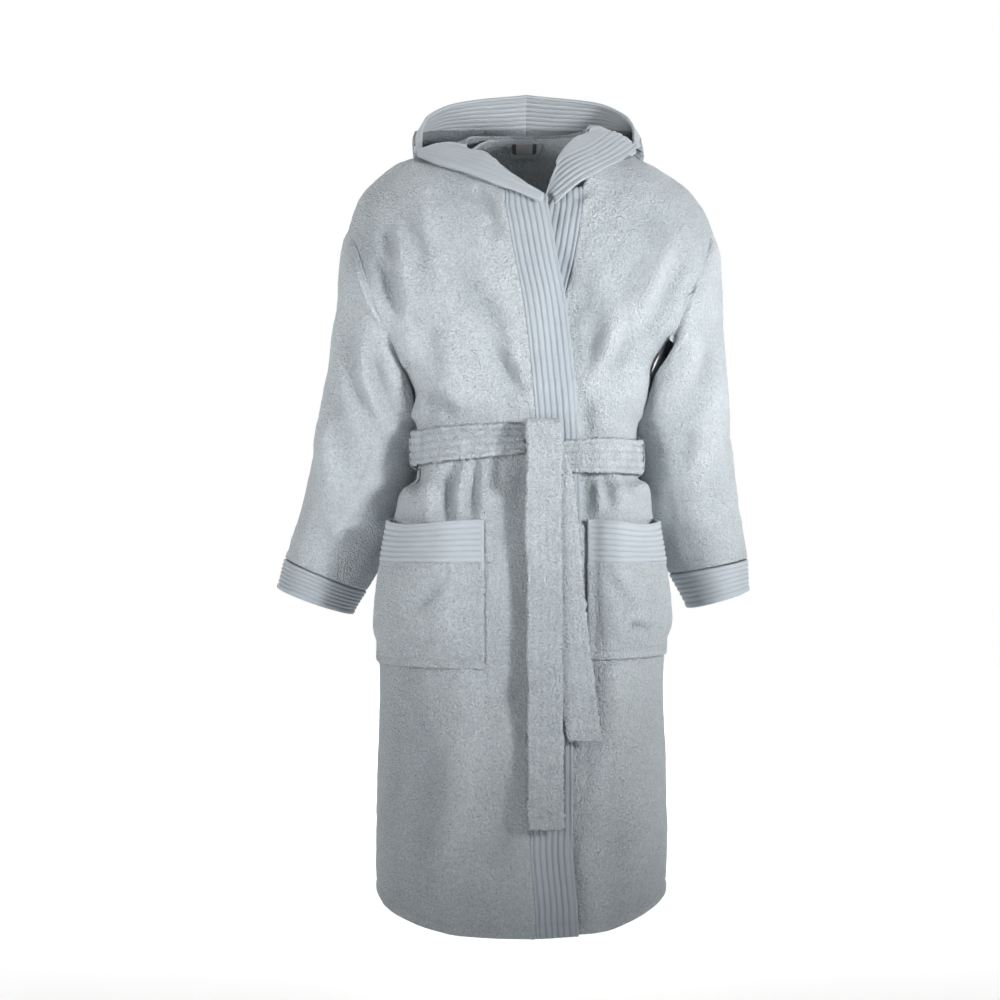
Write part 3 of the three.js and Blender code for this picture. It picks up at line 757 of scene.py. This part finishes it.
def ring_grid(side, rows, columns):
    """The turn round a sleeve and the share of the way down it, at each point of a grid."""
    turn = np.arange(columns) / columns * 2 * math.pi
    turn = turn if side < 0 else 2 * math.pi - turn
    v = np.linspace(0, 1, rows)
    return (np.broadcast_to(turn[None, :], (rows, columns)),
            np.broadcast_to(v[:, None], (rows, columns)))


def sleeve_folds(p, turn):
    x, z = p[..., 0], p[..., 2]
    valley, ridge = crease(x, z, SLEEVE_FOLDS + CHEST_FOLDS[7:8] + CHEST_FOLDS[27:28])
    front = ease(np.sin(turn) * 2 + 0.4)
    mirrored = crease(-x, z + 12, SLEEVE_FOLDS)
    behind = sum(mirrored) * 0.9
    broad = noise(p * [1, 1, 0.7], 85, 51) * 3.0 + noise(p, 38, 52) * 1.6 + noise(p, 20, 53) * 0.7
    side = np.sign(x)
    broad = broad + streaks(x, z, -0.55 * side, 40, 54) * 3.6
    return front * (valley + ridge) + (1 - front) * behind + broad


def sleeve(word):
    side, shape = SIDES[word], SLEEVES[word]
    rows, columns = 142, 128
    turn, v = ring_grid(side, rows, columns)
    lines = {key: [along([p[k] for p in shape[key]])(v) for k in (0, 1)] for key in ("outer", "inner")}
    section = [line(v) for line in (SLEEVE_DEPTH, SLEEVE_BACK, SLEEVE_SKEW)]
    ring = ring_point(side, lines["outer"], lines["inner"], section, turn)
    start = armhole_point(side, turn)
    base = start + (ring - start) * ease(v * 3.2)[..., None]
    down = arc_length(base)
    lift = sleeve_folds(base, turn) * ease(down / 18) * (1 - 0.7 * ease((v - 0.93) / 0.07))
    at_seam = body_folds(base) * np.where(np.sin(turn) > 0, 1, 0) * (1 - ease(down / 40))
    lift = lift + at_seam - 0.6 * (1 - ease(down / 8))
    lift = lift + groove(down[-1:] - down, 0.7, 2.5) + CLOTH * ease(down / 50)
    piece = shell(f"arm_{word}", base, TERRY, -CLOTH, loop=True, lift=lift, nap=pile(base),
                  lining=pile(base, 0.4, 9), shade=painted_relief_shading(lift))
    keep(piece, arm_blend(word), [f"sleeve_{word}"])


def arm_blend(word):
    """The two bodies a sleeve lies between, and the ends of a span a hand's width long below its seam;
    keep only applies the sleeve's transform.
    """
    side = SIDES[word]
    out = np.array([side * 0.936, 0, -0.352])
    middle = np.array([side * 0.2265 + 0.006, 0, -0.2115])
    start = middle + out * 0.006
    end = middle + out * 0.115
    return "robe", f"sleeve_of_{word}_arm", tuple(start), tuple(end)


def cuff(word):
    side, shape = SIDES[word], SLEEVES[word]
    rows, columns = 60, 150
    outer_top, outer_end, inner_top, inner_end = shape["cuff"]
    turn, v = ring_grid(side, rows, columns)
    base = ring_point(
        side,
        [mix(outer_top[k], outer_end[k], v) for k in (0, 1)],
        [mix(inner_top[k], inner_end[k], v) for k in (0, 1)],
        [mix(66, 60, v), mix(41, 45, v), mix(22, 10, v)], turn)
    down = arc_length(base)
    width = down[-1:]
    ribbing = ribs((width - down) * 50 / width - 1, 1.6, 7.1) * ease((width - down) / 4)
    roll = swell(width - down - 2, 1.0, 2.2)
    lift = noise(base, 60, 61) * 1.5 * ease(down / 12) + groove(down, 0.5, 2.0) + CLOTH
    piece = shell(f"cuff_end_{word}", base, RIBBED, -CLOTH, loop=True, lift=lift, nap=ribbing + roll,
                  shade=painted_relief_shading(ribbing, 0.2))
    keep(piece, f"sleeve_of_{word}_arm", [f"cuff_{word}"])


# ---- hood and lapels

HOOD_BACK = [
    (0, [(0, 85, 51), (0, 106, 18), (0, 128, -52), (0, 158, -122), (0, 198, -112), (0, 221, -34),
         (0, 197, 58), (0, 130, 128)]),
    (0.25, [(61, 72, 51), (76, 90, 20), (94, 117, -46), (122, 144, -104), (152, 174, -88),
            (168, 182, -18), (151, 150, 56), (114, 100, 108)]),
    (0.38, [(86, 44, 51), (106, 54, 38), (130, 70, 12), (148, 98, -26), (166, 114, -32),
            (177, 108, 2), (174, 84, 46), (157, 60, 76)]),
    (0.5, [(92, 12, 50.5), (108, 15, 46), (128, 18, 34), (148, 22, 18), (165, 26, 6), (175, 28, 12),
           (173, 24, 34), (162, 16, 51)]),
]
HOOD_FRONT = {
    "right": [
        (0.65, [(88, -26, 35), (98, -30, 37), (112, -34, 34), (128, -38, 26), (146, -43, 13),
                (159, -46, 3), (158, -50, 2), (149, -50, 4)]),
        (0.8, [(72, -88, -22), (71, -84, -12), (69, -79, -3), (68, -76, 2), (76, -84, -6),
               (85, -94, -18), (91, -101, -31), (86, -102, -36)]),
        (0.92, [(34, -117, -56), (32, -112, -46), (30, -106, -38), (29, -105, -36), (34, -110, -40),
                (39, -114, -46), (42, -119, -54), (38, -120, -57)]),
        (1, [(-22, -128, -83), (-23, -126, -79), (-24, -125, -77), (-24, -125, -75),
             (-23, -127, -76), (-22, -129, -79), (-20, -131, -83), (-21, -131, -86)]),
    ],
    "left": [
        (0.65, [(92, -28, 38), (100, -26, 42), (108, -24, 43), (118, -25, 38), (134, -31, 32),
                (150, -39, 16), (161, -46, 5), (157, -50, 3)]),
        (0.8, [(82, -76, -10), (75, -67, 2), (71, -59, 12), (76, -52, 21), (91, -61, 11),
               (103, -76, -7), (111, -90, -26), (108, -97, -35)]),
        (0.92, [(50, -108, -54), (45, -101, -41), (43, -94, -29), (50, -89, -19), (61, -98, -28),
                (69, -107, -41), (75, -115, -55), (72, -118, -60)]),
        (1, [(26, -114, -88), (24, -111, -82), (25, -107, -77), (31, -106, -72), (38, -112, -73),
             (41, -116, -77), (43, -120, -82), (41, -121, -87)]),
    ],
}


def hood_face(side, around, depth):
    """The hood's inner face, by share of the way round from the back and share of the depth."""
    back = [(s, [(HOOD_CENTRE + side * x, y, z) for x, y, z in points]) for s, points in HOOD_BACK]
    word = "right" if side < 0 else "left"
    front = [(s, [(side * x, y, z) for x, y, z in points]) for s, points in HOOD_FRONT[word]]
    sections = back + front
    places = np.array([s for s, _ in sections])
    values = np.stack([
        np.stack([along([p[k] for p in points])(depth) for k in range(3)], -1)
        for _, points in sections])
    slopes = tangents(places, values)
    i = np.clip(np.searchsorted(places, around, side="right") - 1, 0, len(places) - 2)
    step = (places[i + 1] - places[i])[..., None]
    t = (around - places[i])[..., None] / step

    def pick(table, at):
        return np.take_along_axis(table, at[None, ..., None], axis=0)[0]

    return hermite(step, t, pick(values, i), pick(values, i + 1), pick(slopes, i), pick(slopes, i + 1))


def hood_grid(side, start, end, rows, columns, depth_at):
    u, v = grid(rows, columns)
    around = mix(end, start, u) if side < 0 else mix(start, end, u)
    return hood_face(side, around, depth_at(v, around))


HOOD_BLEND = ("robe", "hood", (0, 0.086, 0.05), (0, 0.165, 0.05))


def hood_half(word):
    side = SIDES[word]
    face = hood_grid(side, 0.0, HOOD_SPLIT, 110, 110,
                     lambda v, a: v * (RIM_START - mix(0.001, 0.03, (a / HOOD_SPLIT) ** 3)))
    down = arc_length(face)
    from_centre = np.abs(face[..., 0] - HOOD_CENTRE)
    soft = ease(down / 25)
    lift = (noise(face, 62, 71) * 4.0 + noise(face, 30, 72) * 1.4) * soft
    lift = lift * ease(from_centre / 14) + groove(from_centre, 1.6, 2.4)
    lift = lift + groove(down[-1:] - down, 1.2, 3.0)
    # Painted shade: the hood's bag is painted much darker, its inside most, as it lies in shade; painted
    # shading also follows its folds.
    piece = shell(f"hood_bag_{word}", face, TERRY, CLOTH, lift=lift + CLOTH, nap=pile(face, 0.45),
                  lining=pile(face, 0.5, 9), shade=painted_relief_shading(lift, 0.03) - 1.5)
    keep(piece, HOOD_BLEND, [f"hood_half_{word}"])


def hood_band(word):
    side = SIDES[word]
    face = hood_grid(side, 0.0, HOOD_SPLIT, 66, 120,
                     lambda v, a: mix(RIM_START - 0.003, 1, v))
    down = arc_length(face)
    to_rim = down[-1:] - down
    ribbing = ribs(to_rim - 3.5, 1.0) * ease((to_rim - 1) / 4)
    roll = swell(to_rim - 2, 1.2, 2.4)
    lift = noise(face * [1, 1, 0.5], 70, 73) * 1.2 + CLOTH
    # Painted light: the hood's rim is painted lighter, as if lit from above, and painted shade lies in
    # its rib grooves.
    piece = shell(f"hood_rim_{word}", face, RIBBED, CLOTH, lift=lift, nap=ribbing + roll,
                  shade=painted_relief_shading(ribbing, 0.12) + 0.6)
    keep(piece, HOOD_BLEND, [f"hood_band_{word}"])


def lapel(word):
    side = SIDES[word]
    face = hood_grid(side, HOOD_SPLIT + 0.004, 1.0, 110, 110, lambda v, a: v)
    down = arc_length(face)
    to_rim = down[-1:] - down
    fade = ease((to_rim - 2) / 5) * ease((66 - to_rim) / 8)
    ribbing = ribs(to_rim - 3.5, 0.5 if side < 0 else 1.5) * fade
    roll = swell(to_rim - 2.4, 1.1, 2.6)
    lift = noise(face, 42, 74) * 1.2 * ease(down / 12) + 3.4
    piece = shell(f"lapel_{word}", face, RIBBED, 3.4, lift=lift, nap=ribbing + roll,
                  shade=painted_relief_shading(ribbing, 0.2))
    keep(piece, "robe", [f"hood_front_{word}"])


# ---- pockets


def pocket_base(side, u, height, standoff):
    inner = angle_at(np.where(side < 0, -60.0, 86.0), height)
    outer = side * 1.44
    start, end = (outer, inner) if side < 0 else (inner, outer)
    return under_front(body_point(mix(start, end, u), height, standoff), side)


POCKET_FOLDS = [
    (-2.6, 9, [(-85, -612), (-105, -620), (-140, -645), (-175, -675)]),
    (-1.8, 8, [(-80, -620), (-120, -660)]),
    (1.6, 12, [(-95, -650), (-130, -690)]),
    (-2.6, 9, [(100, -612), (110, -620), (140, -650), (160, -675)]),
    (-3.2, 7, [(140, -686), (150, -690), (170, -695), (180, -694)]),
    (1.6, 12, [(110, -660), (140, -700)]),
]


def pocket(word):
    side, bottom = SIDES[word], POCKET_BOTTOM[word]
    u, v = grid(62, 74)
    height = mix(bottom, POCKET_TOP - POCKET_BORDER - 0.2, v)
    rise = ease(4 * u) * ease(4 * (1 - u)) * ease(v * 2.5)
    base = pocket_base(side, u, height, CLOTH + 0.8 + POCKET_BULGE * rise)
    across = arc_length(base, axis=1)
    to_side = to_sides(across)
    up = arc_length(base)
    to_edge = np.minimum(to_side, up)
    lift = sum(crease(base[..., 0], base[..., 2], POCKET_FOLDS)) * 1.7 * rise
    lift = lift + groove(to_edge - 10, 1.5, 1.8) + swell(to_edge - 4, 0.9, 4)
    lift = lift + groove(up[-1:] - up - 5, 1.3, 1.6) + noise(base, 40, 81) * 1.2 * rise
    piece = shell(f"pocket_bag_{word}", base, TERRY, 3.6, lift=lift, nap=pile(base), ragged=2.0,
                  shade=painted_relief_shading(lift))
    keep(piece, "robe", [f"pocket_{word}"])


def pocket_border(word):
    side = SIDES[word]
    u, v = grid(70, 90)
    height = mix(POCKET_TOP - POCKET_BORDER, POCKET_TOP, v)
    down = POCKET_TOP - height
    height = height - 7 * np.sin(math.pi * u) ** 2 * v
    rise = ease(4 * u) * ease(4 * (1 - u))
    base = pocket_base(side, u, height, CLOTH + 0.8 + POCKET_BULGE * rise)
    across = arc_length(base, axis=1)
    to_side = to_sides(across)
    ribbing = ribs(down - 3, 1.6, 8.2) * ease((down - 1) / 4) * ease((to_side - 1) / 5)
    roll = swell(down - 2, 1.0, 2.3)
    lift = noise(base, 38, 82) * 1.0 * rise + swell(to_side - 4, 0.6, 4)
    piece = shell(f"pocket_rim_{word}", base, RIBBED, 3.4, lift=lift, nap=ribbing + roll,
                  shade=painted_relief_shading(ribbing, 0.2))
    keep(piece, "robe", [f"pocket_border_{word}"])


# ---- belt


def smooth_line(points, count):
    """Points along a smooth curve, and their distances: a count of them, or one each STRAP_STEP."""
    points = np.array(points, float)
    spans = np.concatenate([[0], np.cumsum(np.linalg.norm(np.diff(points, axis=0), axis=1))])
    at = np.linspace(0, spans[-1], count if count else int(spans[-1] / STRAP_STEP) + 1)
    return np.stack([profile(list(zip(spans, column)))(at) for column in points.T], -1), at


def belt_surface(along_belt, across):
    """Lengthwise rows of stitching and the puckers they make, across from 0 to 1."""
    rows = sum(groove((across - at) * BELT_WIDTH, 1.9, 2.0) for at in (0.13, 0.38, 0.62, 0.87))
    flat = np.stack([along_belt, across * BELT_WIDTH * 0.6, np.zeros_like(across)], -1)
    pucker = noise(flat, 13, 91) * 1.2 + noise(flat, 7, 92) * 0.8
    return rows + pucker


def belt_wrap():
    start = angle_at(np.array(KNOT_X - 26), -430.0)
    end = angle_at(np.array(KNOT_X + 26), -440.0)
    u, v = grid(26, 420)
    travel = u * (2 * math.pi - (end - start))
    near = np.exp(-travel / 0.22) + 0.6 * np.exp(-(2 * math.pi - (end - start) - travel) / 0.2)
    base = body_point(start - travel, BELT_LINE, 11.0 - 2.0 * near)
    middle = belt_height(travel)
    base[..., 2] = middle + BELT_WIDTH * (1 - 0.2 * near) * (v - 0.5) + 2 * noise(base, 60, 93)
    along_belt = arc_length(base, axis=1)
    lift = belt_surface(along_belt, v) + noise(base, 70, 94) * 0.8
    piece = shell("belt_round_waist", base, TERRY, -BELT_THICKNESS, nap=lift + pile(base * 2, 0.8),
                  ragged=BELT_FUZZ, shade=painted_relief_shading(lift, 0.26))
    keep(piece, "robe", ["belt_wrap"])


def strap(name, path, thickness, seed):
    """One end of the belt: a flat strip whose front face follows path, a list of points."""
    line, at = smooth_line(path, None)
    columns = 26
    u, v = grid(len(at), columns)
    base = np.repeat(line[:, None, :], columns, 1)
    base[..., 0] += BELT_WIDTH * (u - 0.5)
    lengths = np.repeat(at[:, None], columns, 1)
    key = np.stack([lengths, u * 20, np.full_like(u, seed * 70.0)], -1)
    base[..., 0] += noise(key, 55, 95) * 2.6
    lift = belt_surface(lengths + seed * 400, u) + noise(key, 48, 96) * 1.8 * v
    return shell(name, base, TERRY, thickness, nap=lift + pile(base * 2, 0.8, 13 + seed),
                 ragged=BELT_FUZZ, shade=painted_relief_shading(lift, 0.26))


def belt_ends():
    x = KNOT_X
    long_path = [(x, -144, -452), (x, -143, -428), (x, -144, -408), (x, -149, -399), (x, -157, -400),
                 (x, -163, -410), (x, -165, -430), (x, -166, -452), (x, -165, -478), (x, -167, -640),
                 (x + 2, -170, -800), (x + 4, -172, -970)]
    piece = strap("belt_end_front", long_path, 5.0, 1)
    keep(piece, ("robe", "belt_end_long", (0.024, -0.166, -0.462), (0.024, -0.166, -0.50)),
         ["belt_knot", "belt_tail_long"])
    short_path = [(x + 4, -149, -436), (x + 10, -154, -455), (x + 16, -157, -478), (x + 32, -159, -640),
                  (x + 56, -162, -848)]
    piece = strap("belt_end_behind", short_path, BELT_THICKNESS, 2)
    keep(piece, ("robe", "belt_end_short", (0.036, -0.157, -0.462), (0.042, -0.157, -0.50)),
         ["belt_tail_short"])


def belt_loop(word):
    side = SIDES[word]
    middle = float(belt_height(1.7 if side < 0 else 4.8))
    base_x = side * float(half_width(middle) + 3) + float(sway(middle))
    half = BELT_WIDTH / 2 + 4
    outline = [(0, -half - 4), (4, -half - 1), (8, -half + 3), (10, -half + 9), (10.6, 0),
               (10, half - 9), (8, half - 3), (4, half + 1), (0, half + 4)]
    rows, columns = 44, 10
    line = smooth_line([(base_x + side * out, 0, middle + z) for out, z in outline], rows)[0]
    u = grid(rows, columns)[0]
    base = np.repeat(line[:, None, :], columns, 1)
    base[..., 1] += LOOP_WIDTH * (u - 0.5)
    edge = np.minimum(u, 1 - u) * LOOP_WIDTH
    lift = groove(edge - 2.4, 0.5, 0.8)
    piece = shell(f"loop_{word}", base, TERRY, 2.0 * side, nap=lift + pile(base, 0.3), ragged=0.3,
                  shade=painted_relief_shading(lift, 0.26))
    keep(piece, "robe", [f"belt_loop_{word}"])


# ---- inside the neck


def hanging_loop():
    outline = [(-23.5, 40), (-23.5, 31), (-21.5, 23.5), (-15, 19), (-6, 18.4), (6, 18.4), (15, 19),
               (21.5, 23.5), (23.5, 31), (23.5, 40)]
    rows, columns = 90, 9
    line = smooth_line(outline, rows)[0]
    ahead = np.gradient(line, axis=0)
    ahead /= np.linalg.norm(ahead, axis=1, keepdims=True)
    sideways = np.stack([-ahead[:, 1], ahead[:, 0]], -1)
    u = grid(rows, columns)[0]
    across = line[:, None, :] + sideways[:, None, :] * (u - 0.5)[..., None] * HANGER_WIDTH
    base = np.stack([across[..., 0], np.full_like(u, HANGER_Y), across[..., 1]], -1)
    lift = groove(np.minimum(u, 1 - u) * HANGER_WIDTH - 1.4, 0.4, 0.5)
    piece = shell("hanging_strap", base, TERRY, -2.6, nap=lift + pile(base, 0.25), ragged=0.2,
                  shade=painted_relief_shading(lift, 0.26))
    keep(piece, "hanging_loop", ["hanger_loop"])


def neck_strip():
    u, v = grid(14, 120)
    height = mix(36, 46, v)
    base = body_point(mix(math.pi - 0.75, math.pi + 0.75, u), height, -CLOTH - 2)
    lift = groove(np.minimum(v, 1 - v) * 10 - 1.6, 0.4, 0.6)
    piece = shell("neck_strip", base, RIBBED, -1.4, nap=lift + pile(base, 0.1), shade=painted_relief_shading(lift, 0.26))
    keep(piece, "robe", ["neck_tape"])


def label():
    u, v = grid(24, 60)
    x = mix(-18, 18, u)
    z = mix(23, 39, v)
    base = np.stack([x, 76.0 + 0.25 * np.cos(x / 5), z], -1)
    ends = ease((np.abs(x) - 12.2) / 0.8)
    hem_line = groove(np.minimum(v, 1 - v) * 16 - 1.5, 0.2, 0.4)
    weave = 0.12 * np.sin(z * 9) * np.sin(x * 9)
    piece = shell("blank_label", base, LABEL, -1.2, nap=hem_line + weave, shade=1.3 - 2.6 * ends)
    keep(piece, "robe", ["neck_label"])


# ---- build

back_panel()
for word in SIDES:
    front_panel(word)
    front_band(word)
    pocket(word)
    pocket_border(word)
    sleeve(word)
    cuff(word)
    hood_half(word)
    hood_band(word)
    lapel(word)
    belt_loop(word)
hem("hem_back", math.pi / 2 + 0.02, 1.5 * math.pi - 0.02, -1, True)
hem("hem_right", -math.pi / 2 + 0.02, 0.3, -1, False)
hem("hem_left", -0.2, math.pi / 2 - 0.02, 1, False)
belt_wrap()
belt_ends()
neck_strip()
label()
hanging_loop()

# ---- floor, light and camera

scene = bpy.context.scene


def floor():
    """A pale round floor as far below the shoulders as a wearer's feet."""
    ring = 64
    radii = [0.001, 2.5, 5.0, 7.4]
    points = []
    for radius in radii:
        for k in range(ring):
            turn = 2 * math.pi * k / ring
            points.append((radius * 1000 * math.cos(turn), radius * 1000 * math.sin(turn), FLOOR_HEIGHT))
    quads = []
    for r in range(len(radii) - 1):
        for k in range(ring):
            n = (k + 1) % ring
            quads.append((r * ring + k, (r + 1) * ring + k, (r + 1) * ring + n, r * ring + n))
    paint = bpy.data.materials.new("pale_floor")
    paint.use_nodes = True
    shader = paint.node_tree.nodes["Principled BSDF"]
    shader.inputs["Base Color"].default_value = (0.93, 0.93, 0.93, 1)
    shader.inputs["Roughness"].default_value = 0.9
    make_piece("floor", np.array(points), np.array(quads), paint)


def area_light(name, place, aim, size, power_w, spread=180):
    data = bpy.data.lights.new(name, "AREA")
    data.shape = "DISK"
    data.size = size
    data.energy = power_w
    data.spread = math.radians(spread)
    lamp = bpy.data.objects.new(name, data)
    scene.collection.objects.link(lamp)
    lamp.location = place
    lamp.rotation_euler = (Vector(aim) - Vector(place)).to_track_quat("-Z", "Y").to_euler()


floor()
area_light("right_of_view", (1.45, -1.5, -0.2), (0.09, 0, -0.32), 0.4, 4.2, spread=52)
area_light("left_of_view", (-1.45, -1.5, -0.3), (-0.07, 0, -0.34), 0.5, 1.9, spread=52)
area_light("floor_wash", (0, 4.8, 3), (0, 4.8, -1.4), 8, 420, spread=140)
for k, degrees in enumerate((-150, -90, -30, 30, 150)):
    x, y = 5.8 * math.cos(math.radians(degrees)), 5.8 * math.sin(math.radians(degrees))
    area_light(f"ring_wash_{k}", (x, y, 2), (x, y, -1.4), 4, 130, spread=90)
world = bpy.data.worlds.new("studio")
world.use_nodes = True
sky, sky_links = world.node_tree.nodes, world.node_tree.links
soft_light = sky["Background"]
soft_light.inputs["Color"].default_value = (1.0, 1.0, 1.0, 1)
soft_light.inputs["Strength"].default_value = 0.17
backdrop = sky.new("ShaderNodeBackground")
backdrop.inputs["Color"].default_value = (1.0, 1.0, 1.0, 1)
backdrop.inputs["Strength"].default_value = 1.0
choice = sky.new("ShaderNodeMixShader")
sky_links.new(sky.new("ShaderNodeLightPath").outputs["Is Camera Ray"], choice.inputs["Fac"])
sky_links.new(soft_light.outputs["Background"], choice.inputs[1])
sky_links.new(backdrop.outputs["Background"], choice.inputs[2])
sky_links.new(choice.outputs["Shader"], sky["World Output"].inputs["Surface"])
scene.world = world
scene.view_settings.view_transform = "Standard"

camera_data = bpy.data.cameras.new("camera")
camera_data.sensor_width = 36
camera_data.lens = 62.4
camera = bpy.data.objects.new("camera", camera_data)
scene.collection.objects.link(camera)
camera.location = (-0.0375, -2.6, -0.51)
camera.rotation_euler = (math.pi / 2, 0, 0)
scene.camera = camera
